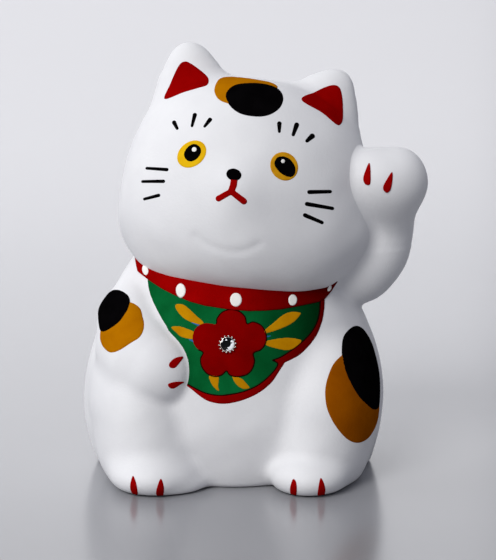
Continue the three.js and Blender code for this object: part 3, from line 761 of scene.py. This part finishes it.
def collar_band(p):
    """The collar as a field: a layer on the torso, cut off at its edges and ends."""
    arm = filleted_arm(p)
    form = torso(p)
    # In front it lies over the root of the raised arm, and behind it stops short of the arm.
    end = (p[:, 1] < FRONT_HALF) & (p[:, 0] > 12)
    form = np.where(end, smin(form, arm, 3.0), form)
    band = smax(np.abs(form + BAND_SUNK) - BAND_HALF_THICKNESS, collar_reach(p), BAND_EDGE)
    band = np.where(end, band, smax(band, -(arm - BAND_TO_ARM), BAND_EDGE))
    # The resting arm's shoulder is left bare.
    x, y, _ = FRONT.drop(p)
    behind = BARE_BACK + BARE_BACK_LEAN * np.maximum(head(p) - UNDER_HEAD, 0)
    shoulder = np.maximum((x - BARE_ACROSS) - (BARE_UP - y) * BARE_LEAN, p[:, 1] - behind)
    return smax(band, -shoulder, BAND_EDGE)


verts, faces = net(collar_band, (-37, -34, 42), (40, 38, 76), 0.42)
add("collar_band_enamel", verts, faces, COLLAR_RED, ["collar_band"])


# ---- the bib
def off_the_arm(p):
    """Negative where a place is clear of the resting arm, so that enamel may lie there."""
    return -(resting_arm(p) - 0.25)


def off_arm_and_collar(p):
    """Negative where a place is clear of the resting arm and the collar."""
    return smax(-(collar_reach(p) + 0.1), off_the_arm(p), 0.2)


# The edging's outer line and the panel's outline share the run beside and under the resting arm.
BESIDE_ARM = [
    (-18, 27), (-18.5, 33), (-17.6, 37.2), (-18.9, 40.2), (-20.4, 42.6), (-21.7, 44.9), (-22.9, 47.2),
    (-23.8, 49.3), (-24.4, 51.4), (-24.7, 53.5), (-24.9, 56.5), (-12, 58), (14, 58)]
EDGE_SIDE = [
    (26.6, 52), (26.3, 48.9), (26.0, 45.0), (25.3, 41.6), (23.6, 37.6), (20.7, 34.0), (18.1, 31.9),
    (14.6, 30.2)]
EDGE_LOW = [
    (14.6, 30.2), (12.9, 27.6), (11.0, 24.8), (8.4, 22.5), (5.6, 20.8), (1.6, 19.3), (-2.6, 18.6),
    (-6.3, 19.1), (-8.8, 20.3), (-12, 22.8)]
PANEL_SIDE = [
    (24.9, 52), (24.8, 47.2), (24.5, 43.9), (23.6, 41.0), (21.8, 38.2), (19.2, 35.7), (16.4, 33.6),
    (13.5, 31.8), (11.1, 30.9)]
PANEL_LOW = [
    (11.1, 30.9), (12.6, 29.9), (11.7, 28.1), (9.5, 25.8), (6.7, 23.7), (3.3, 22.2), (-0.1, 21.4),
    (-4.0, 21.0), (-8.0, 21.7), (-12, 23.6)]
FLOWER = [
    (-0.9, 45.2), (1.6, 44.7), (3.3, 43.2), (3.9, 41.2), (5.6, 41.7), (7.9, 40.7), (9.2, 38.5), (9.2, 35.9),
    (7.8, 33.9), (5.7, 32.9), (6.0, 30.6), (5.2, 28.2), (3.6, 26.8), (0.9, 26.3), (-1.0, 26.8),
    (-1.9, 27.9), (-3.2, 26.8), (-5.2, 26.3), (-7.4, 27.2), (-8.9, 29.2), (-9.2, 31.4), (-8.5, 33.1),
    (-10.3, 34.2), (-11.5, 36.2), (-11.4, 38.7), (-10.0, 40.7), (-7.8, 41.5), (-4.9, 41.2), (-4.6, 42.6),
    (-3.2, 44.4)]
LEAVES = [
    [(-16.6, 46.3), (-15.6, 46.9), (-13.6, 46.4), (-11.0, 44.1), (-8.4, 41.7), (-8.7, 40.8), (-10.8, 41.1),
     (-13.8, 42.5), (-15.9, 44.6)],
    [(-17.7, 40.2), (-15.7, 40.6), (-13.1, 39.9), (-10.9, 38.8), (-11.0, 36.8), (-14.5, 37.3),
     (-16.4, 38.7)],
    [(8.3, 39.0), (11.1, 41.4), (14.1, 43.8), (16.5, 44.6), (19.2, 44.3), (18.7, 43.1), (16.8, 41.3),
     (13.5, 39.7), (9.2, 38.4)],
    [(9.0, 36.3), (11.5, 36.9), (14.7, 37.3), (17.5, 37.1), (19.5, 36.3), (17.6, 34.3), (15.2, 33.6),
     (12.2, 34.1), (9.2, 35.1)],
    [(-6.9, 26.5), (-5.4, 26.9), (-4.1, 26.5), (-4.0, 25.1), (-4.1, 23.5), (-3.9, 22.1), (-5.4, 23.1),
     (-6.5, 24.8)],
    [(-0.4, 26.5), (0.8, 26.5), (2.0, 26.0), (2.9, 25.5), (3.9, 24.3), (4.8, 23.1), (3.3, 22.7),
     (1.8, 23.2), (0.3, 24.7)]]
BLUE_MARKS = strokes([(-11.6, 41.5, 0.3), (-9.6, 40.7, 0.45)], [(-12.4, 36.7, 0.3), (-11.0, 36.2, 0.5)],
    [(9.2, 37.5, 0.4), (10.6, 37.8, 0.22)])

bib_edge = inside_outline(run(EDGE_SIDE) + run(EDGE_LOW) + BESIDE_ARM)
bib_panel = inside_outline(run(PANEL_SIDE) + run(PANEL_LOW) + BESIDE_ARM)
flower = inside_outline(smooth(FLOWER, 150))
enamel("bib_panel", FRONT, bib_panel, GREEN, "green_enamel", thick=0.12, clear=off_arm_and_collar)
enamel("bib_edging", FRONT, banded(bib_edge, bib_panel), COLLAR_RED, "red_enamel", thick=0.2,
    clear=off_arm_and_collar)
paint("bib_line", FRONT, lined(bib_panel, 0.25), INK, [], "black_enamel", thick=0.26, step=0.2,
    clear=off_arm_and_collar)
enamel("plum_flower", FRONT, flower, DEEP_RED, "red_enamel", thick=0.24)
paint("flower_line", FRONT, lined(flower, 0.24), INK, [], "black_enamel", thick=0.32, step=0.2)
for i, points in enumerate(LEAVES):
    leaf = inside_outline(smooth(points))
    enamel(f"bib_leaf_{i + 1}", FRONT, leaf, LEAF, "ochre_enamel", thick=0.19, step=0.25, clear=off_the_arm)
paint("blue_accents", FRONT, BLUE_MARKS, BLUE, [], "green_enamel", thick=0.17, step=0.2, clear=off_the_arm)
for i, (at, radii, turn) in enumerate(COLLAR_DOTS):
    nodes = [f"collar_dot_{i + 1}"] if i < 4 else []
    dot = oval(at, radii, turn)
    paint(f"collar_dot_{i + 1}_enamel", FRONT, dot, WHITE, nodes, "white_enamel", thick=0.66, near=8,
        step=0.22)

# ---- the face
# Side, iris middle, half-sizes, turn and colour, and the pupil's outline.
EYES = [
    ("right", (-15.4, 6.5), (4.45, 3.5), 45, YELLOW,
     [(-17.6, 6.6), (-16.9, 8.3), (-15.5, 9.4), (-14.0, 9.3), (-12.9, 8.3), (-12.8, 6.7), (-13.7, 5.1),
      (-15.0, 4.3), (-16.3, 4.4), (-17.3, 5.3)]),
    ("left", (10.8, 6.6), (4.15, 3.8), -45, AMBER,
     [(7.8, 7.1), (8.4, 8.8), (10.1, 9.4), (12.1, 8.9), (13.8, 7.1), (14.2, 5.2), (13.4, 3.9), (11.7, 3.8),
      (9.9, 4.5), (8.4, 5.8)])]
MOUTH = strokes([(-2.5, 1.0, 0.95), (-2.5, -0.8, 1.0), (-2.9, -2.6, 0.9)],
    [(-2.9, -2.6, 0.8), (-6.1, -5.0, 0.85)], [(-2.9, -2.6, 0.8), (1.0, -4.8, 0.9)])
CROWN_OCHRE = [
    (-11.8, 6.0), (-11.6, 11.5), (-10.4, 16.2), (-7.6, 18.2), (-3.7, 16.6), (0.4, 14.6), (3.9, 13.4),
    (5.9, 9.8), (2, 3), (-4, -1), (-7.7, -0.3), (-10.4, 1.8)]
CROWN_BLACK = [
    (-8.3, 2.0), (-8.0, 5.8), (-6.0, 9.0), (-2.1, 10.4), (2.5, 10.7), (6.1, 9.2), (7.9, 5.2), (7.4, 0.4),
    (4.9, -3.1), (1.4, -4.6), (-3.0, -4.3), (-6.2, -2.0)]
EAR_LININGS = {
    "left": [
        (13.1, 26.7), (17.0, 30.3), (20.3, 32.5), (22.5, 33.1), (24.0, 32.2), (25.1, 29.0), (25.8, 23.7),
        (25.2, 21.4), (23.8, 21.2), (19.5, 23.8)],
    "right": [
        (-25.9, 22.0), (-25.0, 26.7), (-23.4, 32.2), (-21.8, 33.8), (-19.6, 33.3), (-15.9, 31.2),
        (-14.2, 29.6), (-14.1, 27.4), (-16.3, 26.2), (-20.5, 24.4)]}
WHISKERS = strokes(
    [(-27.7, 1.1, 0.42), (-21.8, 1.3, 0.5)], [(-28.4, -2.8, 0.42), (-22.3, -2.1, 0.5)],
    [(-27.1, -7.7, 0.42), (-23.1, -6.2, 0.5)], [(18.8, 0.5, 0.6), (24.7, 1.6, 0.5)],
    [(18.6, -2.9, 0.6), (26.0, -3.0, 0.5)], [(18.5, -6.1, 0.6), (23.6, -7.4, 0.5)])
BROWS = strokes(
    [(-21.8, 15.0, 0.62), (-20.6, 13.3, 0.42)], [(-16.2, 17.8, 0.62), (-16.5, 14.5, 0.4)],
    [(-11.7, 16.9, 0.62), (-12.9, 14.8, 0.4)], [(7.8, 18.5, 0.66), (8.1, 16.2, 0.42)],
    [(12.7, 18.9, 0.72), (12.1, 15.9, 0.48)], [(17.5, 16.4, 0.78), (16.2, 14.8, 0.52)])
GLINTS = strokes([(-14.8, 7.8, 0.78), (-14.78, 7.82, 0.78)], [(10.2, 7.9, 0.66), (10.22, 7.92, 0.66)])

for side, at, radii, turn, colour, points in EYES:
    pupil = inside_outline(smooth(points))
    enamel(f"iris_{side}", FACE, oval(at, radii, turn), colour, "yellow_enamel", thick=0.14, step=0.26)
    enamel(f"pupil_{side}", FACE, pupil, BLACK, "black_enamel", thick=0.24, step=0.26)
enamel("nose", FACE, oval((-2.8, 2.2), (2.15, 1.7), -8), BLACK, "black_enamel", thick=0.3, step=0.28)
enamel("mouth", FACE, MOUTH, CLAW_RED, "red_enamel", thick=0.18, step=0.28)
enamel("head_patch_ochre", CROWN, inside_outline(smooth(CROWN_OCHRE)), OCHRE, "ochre_enamel", thick=0.12)
enamel("head_patch_black", CROWN, inside_outline(smooth(CROWN_BLACK)), BLACK, "black_enamel", thick=0.22)
for side, points in EAR_LININGS.items():
    enamel(f"ear_lining_{side}", FACE, inside_outline(smooth(points)), RED, "red_enamel", near=1, far=45)
paint("whisker_strokes", FACE, WHISKERS, BLACK, [], "black_enamel", thick=0.14, near=6, step=0.26)
paint("brow_strokes", FACE, BROWS, BLACK, [], "black_enamel", thick=0.14, near=6, step=0.26)
paint("eye_glints", FACE, GLINTS, WHITE, [], "white_enamel", thick=0.36, step=0.2)

# ---- the patches and the claws
ARM_BLACK = [
    (-15.4, 47.4), (-11.3, 46.8), (-8.8, 45.2), (-7.4, 42.2), (-7.5, 39.0), (-9.2, 36.8), (-11.8, 35.4),
    (-14.8, 35.6), (-18.4, 38.0), (-20.6, 42.0), (-19.2, 46.2)]
ARM_OCHRE = [
    (-12, 44.5), (-9.6, 44.6), (-7.6, 44.5), (-5.2, 43.4), (-2.9, 41.2), (-0.3, 38.6), (0.6, 35.8),
    (-0.7, 33.9), (-3.3, 31.4), (-6.4, 30.2), (-9.3, 30.6), (-12.2, 32.4), (-14.6, 36.2), (-15, 42)]
HIP_OCHRE = [
    (7, 31.5), (3.0, 30.2), (-2.3, 27.6), (-6.1, 22.6), (-7.5, 17.1), (-6.7, 12.4), (-4.4, 8.2),
    (-1.3, 5.4), (2.7, 4.2), (8.4, 4.8), (14.4, 7.6), (19.4, 12), (20, 18), (14, 27)]
HIP_BLACK = [
    (15.0, 36.3), (7.3, 34.5), (1.8, 30.0), (0.2, 23.8), (2.5, 17.7), (8.0, 13.3), (12.5, 12.1), (18, 12.6),
    (23.5, 15.8), (25.6, 22), (24.4, 29.5), (20.4, 34.6)]
# Name, plane, outline, paint, slot, thickness, grid step, and the nearest depth it is cast to.
PATCHES = [
    ("arm_patch_ochre", ARM, ARM_OCHRE, OCHRE, "ochre_enamel", 0.12, 0.3, 12),
    ("arm_patch_black", ARM, ARM_BLACK, BLACK, "black_enamel", 0.22, 0.3, 12),
    ("hip_patch_ochre", HIP, HIP_OCHRE, BROWN, "ochre_enamel", 0.12, 0.36, 10),
    ("hip_patch_black", HIP, HIP_BLACK, BLACK, "black_enamel", 0.22, 0.36, 10)]
CLAWS = {
    "raised_claw_1": [(38.7, 87.0), (37.5, 84.6), (36.9, 82.3), (37.5, 80.8), (38.8, 80.8), (39.0, 83.7)],
    "raised_claw_2": [(45.1, 84.3), (43.6, 82.2), (42.5, 79.8), (43.4, 78.4), (44.6, 79.1), (45.2, 82.0)],
    "resting_claw_1": [
        (-14.1, 31.9), (-16.4, 31.6), (-18.0, 30.1), (-17.8, 29.0), (-16.5, 28.8), (-15.2, 30.1)],
    "resting_claw_2": [
        (-13.8, 24.8), (-16.4, 24.9), (-18.3, 24.3), (-17.9, 23.2), (-16.7, 23.0), (-15.0, 24.0)],
    "foot_claw_right_2": [(-28.3, -1.6), (-29.1, -4.6), (-28.5, -6.9), (-27.0, -7.0), (-27.3, -3.6)],
    "foot_claw_right_1": [(-20.4, -2.3), (-21.7, -5.9), (-21.3, -7.7), (-19.9, -7.6), (-19.5, -4.8)],
    "foot_claw_left_1": [(16.8, -2.5), (16.0, -5.3), (16.5, -7.5), (17.8, -7.5), (17.8, -3.6)],
    "foot_claw_left_2": [(24.6, -2.1), (23.8, -6.3), (24.1, -7.8), (25.7, -7.6), (25.9, -4.8)]}


CLAW_LIFT = 0.5


def off_the_table(p):
    return CLAW_LIFT - p[:, 2]


for name, plane, points, colour, slot, thick, step, near in PATCHES:
    patch = inside_outline(smooth(points))
    enamel(name, plane, patch, colour, slot, thick=thick, step=step, near=near, far=60)
for name, points in CLAWS.items():
    claw = inside_outline(smooth(points))
    enamel(name, FRONT, claw, CLAW_RED, "red_enamel", step=0.22, near=20, clear=off_the_table)

# ---- the set stone
STONE_ACROSS, STONE_UP = -1.6, 35.4
CUP_PROFILE = [(1.9, -0.3), (2.16, -0.1), (2.2, 0.3), (2.12, 0.62), (1.95, 0.8), (1.7, 0.7), (1.5, 0.4)]
CUP_SIDES = 56
BEADS, BEAD_RADIUS, BEAD_RING, BEAD_HEIGHT, FIRST_BEAD_TURN = 14, 0.27, 2.34, 0.72, 0.1
BEAD_SIDES = 12
BEAD_PROFILE = [(BEAD_RADIUS * math.sin(t), BEAD_RADIUS * math.cos(t)) for t in np.linspace(2.99, 0.15, 8)]
FACETS = 12
TOP_CELLS = 2
# Radius, height and turn, in facets, of the stone's back, girdle, crown and table.
STONE_RINGS = [(1.2, 0.5, 0), (1.96, 0.95, 0), (1.6, 1.42, 0.5), (1.02, 1.78, 0)]


def stone_axes(seat):
    """Across, up and out at the seat, square to the bib there."""
    out = np.array([(body((seat + 0.4 * e)[None]) - body((seat - 0.4 * e)[None]))[0] for e in np.eye(3)])
    out /= np.linalg.norm(out)
    across = np.cross(UP, out)
    across /= np.linalg.norm(across)
    return np.array([across, np.cross(out, across), out])


def ring_points(radius, height, count, turn=0.0):
    angles = (np.arange(count) + turn) * 2 * math.pi / count
    return [(radius * math.cos(a), radius * math.sin(a), height) for a in angles]


def ring_quads(rings, count):
    """Each cell between neighbouring rings: the lower ring's number and the cell's four corners."""
    for r in range(rings - 1):
        for i in range(count):
            j = (i + 1) % count
            yield r, r * count + i, r * count + j, (r + 1) * count + j, (r + 1) * count + i


def capped(rings, count):
    """The faces that close the first and the last ring."""
    return [tuple(reversed(range(count))), tuple(range((rings - 1) * count, rings * count))]


def lathe(profile, count):
    """A closed turned solid."""
    points = [spot for radius, height in profile for spot in ring_points(radius, height, count)]
    faces = [tuple(quad) for _, *quad in ring_quads(len(profile), count)]
    return points, faces + capped(len(profile), count)


def beaded_cup():
    """The stone's cup, with a ring of beads round its rim."""
    points, faces = lathe(CUP_PROFILE, CUP_SIDES)
    bead, bead_faces = lathe(BEAD_PROFILE, BEAD_SIDES)
    for i in range(BEADS):
        angle = i * 2 * math.pi / BEADS + FIRST_BEAD_TURN
        middle = (BEAD_RING * math.cos(angle), BEAD_RING * math.sin(angle), BEAD_HEIGHT)
        faces += [tuple(len(points) + k for k in face) for face in bead_faces]
        points += [tuple(np.add(spot, middle)) for spot in bead]
    return points, faces


def cut_stone():
    """A round brilliant, whose crown's triangles stand the other way round from its back's."""
    rings = [ring_points(radius, height, FACETS, turn) for radius, height, turn in STONE_RINGS]
    points = [spot for ring in rings for spot in ring]
    faces = capped(len(STONE_RINGS), FACETS)
    for r, a, b, c, d in ring_quads(len(STONE_RINGS), FACETS):
        faces += [(a, b, c), (a, c, d)] if r == TOP_CELLS else [(a, b, d), (b, c, d)]
    return points, faces


seat_out = land(body, FRONT, np.array([STONE_ACROSS]), np.array([STONE_UP]), 70, 10)[0]
seat = FRONT.lift([STONE_ACROSS, STONE_UP, seat_out])
STONE = stone_axes(seat)
verts, faces = beaded_cup()
add("beaded_setting", seat + np.array(verts) @ STONE, faces, METAL, ["stone_setting"])
verts, faces = cut_stone()
crystal = add("faceted_crystal", seat + np.array(verts) @ STONE, faces, CRYSTAL_PAINTED_HIGHLIGHT, ["crystal"],
    flat=True)
crystal.data.materials.append(CRYSTAL_PAINTED_SHADE)
# Painted highlight on the facets low on the raised paw's side and on a few of the others; the rest get the
# painted shade.
middle = np.mean([v.co for v in crystal.data.vertices], axis=0)
for i, facet in enumerate(crystal.data.polygons):
    across, up, _ = STONE @ (np.array(facet.center) - middle)
    edge = 0.0006 + 0.0003 * ((i * 7) % 5 == 2)
    painted_lit = across * 0.9 - up * 0.45 > edge or (i * 7) % 11 == 3
    facet.material_index = 0 if painted_lit else 1

# ---- the floor, in metres
FLOOR_FRONT, SWEEP_START, WALL_TOP, FLOOR_HALF_WIDTH = -3.0, 0.25, 2.5, 4.0
SWEEP_LENGTH, SWEEP_STEPS = 1.75, 40


def sweep_profile():
    """The floor's line from front to back, which turns up ever faster and then slower."""
    y, z = SWEEP_START, 0.0
    profile = [(FLOOR_FRONT, 0.0), (y, z)]
    for i in range(SWEEP_STEPS):
        share = (i + 0.5) / SWEEP_STEPS
        turn = math.pi / 2 * share * share * (3 - 2 * share)
        y += SWEEP_LENGTH / SWEEP_STEPS * math.cos(turn)
        z += SWEEP_LENGTH / SWEEP_STEPS * math.sin(turn)
        profile.append((y, z))
    return profile + [(y, WALL_TOP)]


def floor_sheet():
    """Polished and grey where the figurine stands, and paler where it sweeps up behind."""
    material = bpy.data.materials.new("floor_sheet")
    material.use_nodes = True
    tree = material.node_tree
    shader = tree.nodes["Principled BSDF"]
    axes = node(tree, "ShaderNodeSeparateXYZ")
    tree.links.new(node(tree, "ShaderNodeTexCoord").outputs["Object"], axes.inputs["Vector"])
    behind = node(tree, "ShaderNodeMapRange", interpolation_type="SMOOTHSTEP", From_Min=-0.2, From_Max=0.5)
    tree.links.new(axes.outputs["Y"], behind.inputs["Value"])
    tone = node(tree, "ShaderNodeMix", data_type="RGBA", A=(0.255, 0.259, 0.276, 1),
        B=(0.59, 0.588, 0.61, 1))
    tree.links.new(behind.outputs["Result"], tone.inputs["Factor"])
    tree.links.new(tone.outputs["Result"], shader.inputs["Base Color"])
    dull = node(tree, "ShaderNodeMapRange", To_Min=0.2, To_Max=0.265)
    tree.links.new(behind.outputs["Result"], dull.inputs["Value"])
    tree.links.new(dull.outputs["Result"], shader.inputs["Roughness"])
    shader.inputs["Specular IOR Level"].default_value = 1.0
    return material


profile = sweep_profile()
corners = [(x, y, z) for y, z in profile for x in (-FLOOR_HALF_WIDTH, FLOOR_HALF_WIDTH)]
strips = [(2 * i, 2 * i + 1, 2 * i + 3, 2 * i + 2) for i in range(len(profile) - 1)]
floor_mesh = bpy.data.meshes.new("floor")
floor_mesh.from_pydata(corners, [], strips)
floor_mesh.polygons.foreach_set("use_smooth", [True] * len(floor_mesh.polygons))
floor = bpy.data.objects.new("floor", floor_mesh)
bpy.context.scene.collection.objects.link(floor)
floor.data.materials.append(floor_sheet())

# ---- light, in metres
world = bpy.data.worlds.new("studio")
bpy.context.scene.world = world
world.use_nodes = True
sky = world.node_tree.nodes["Background"].inputs
sky["Color"].default_value = (0.84, 0.87, 1.0, 1)
sky["Strength"].default_value = 0.29


def lamp(name, kind, at, towards, energy, colour, size, mirrored=True):
    """A sun of an angular size, or a square area lamp. None shows itself to the camera."""
    data = bpy.data.lights.new(name, kind)
    data.energy = energy
    data.color = colour
    if kind == "SUN":
        data.angle = size
    else:
        data.size = size
    obj = bpy.data.objects.new(name, data)
    obj.visible_camera = False
    obj.visible_glossy = mirrored
    bpy.context.scene.collection.objects.link(obj)
    obj.location = at
    obj.rotation_euler = (Vector(towards) - Vector(at)).to_track_quat("-Z", "Y").to_euler()


lamp("key", "SUN", (-0.46, -0.78, 0.68), (0, 0, 0), 2.05, (1.0, 0.99, 0.97), math.radians(30))
lamp("side", "AREA", (-0.85, -0.05, 0.3), (0, 0, 0.05), 1.9, (0.96, 0.975, 1.0), 0.5, mirrored=False)
lamp("top", "AREA", (-0.1, 0.15, 0.9), (0, 0.05, 0.1), 0.7, (0.985, 0.99, 1.0), 0.4)
# Low and behind: the floor mirrors it, and the figurine's own reflection stays dark against it.
lamp("back", "AREA", (-0.22, 0.8, 0.42), (-0.1, -0.2, 0), 1.5, (0.985, 0.99, 1.0), 0.8)

# ---- camera
# In millimetres, as is the lens.
VIEW_ACROSS, VIEW_UP, VIEW_DISTANCE = 4.17, 53.6, 800
LENS = 172.8
camera_data = bpy.data.cameras.new("camera")
camera = bpy.data.objects.new("camera", camera_data)
bpy.context.scene.collection.objects.link(camera)
camera_data.sensor_width = 36
camera_data.lens = LENS
camera_data.dof.use_dof = False
camera_data.clip_start = 0.01
camera_data.clip_end = 50
place = in_frame(RIGHT * VIEW_ACROSS + UP * VIEW_UP + OUT * VIEW_DISTANCE)
camera.matrix_world = Matrix([*np.column_stack([RIGHT, UP, OUT, place]).tolist(), [0, 0, 0, 1]])
bpy.context.scene.camera = camera
bpy.context.scene.view_settings.view_transform = "Standard"
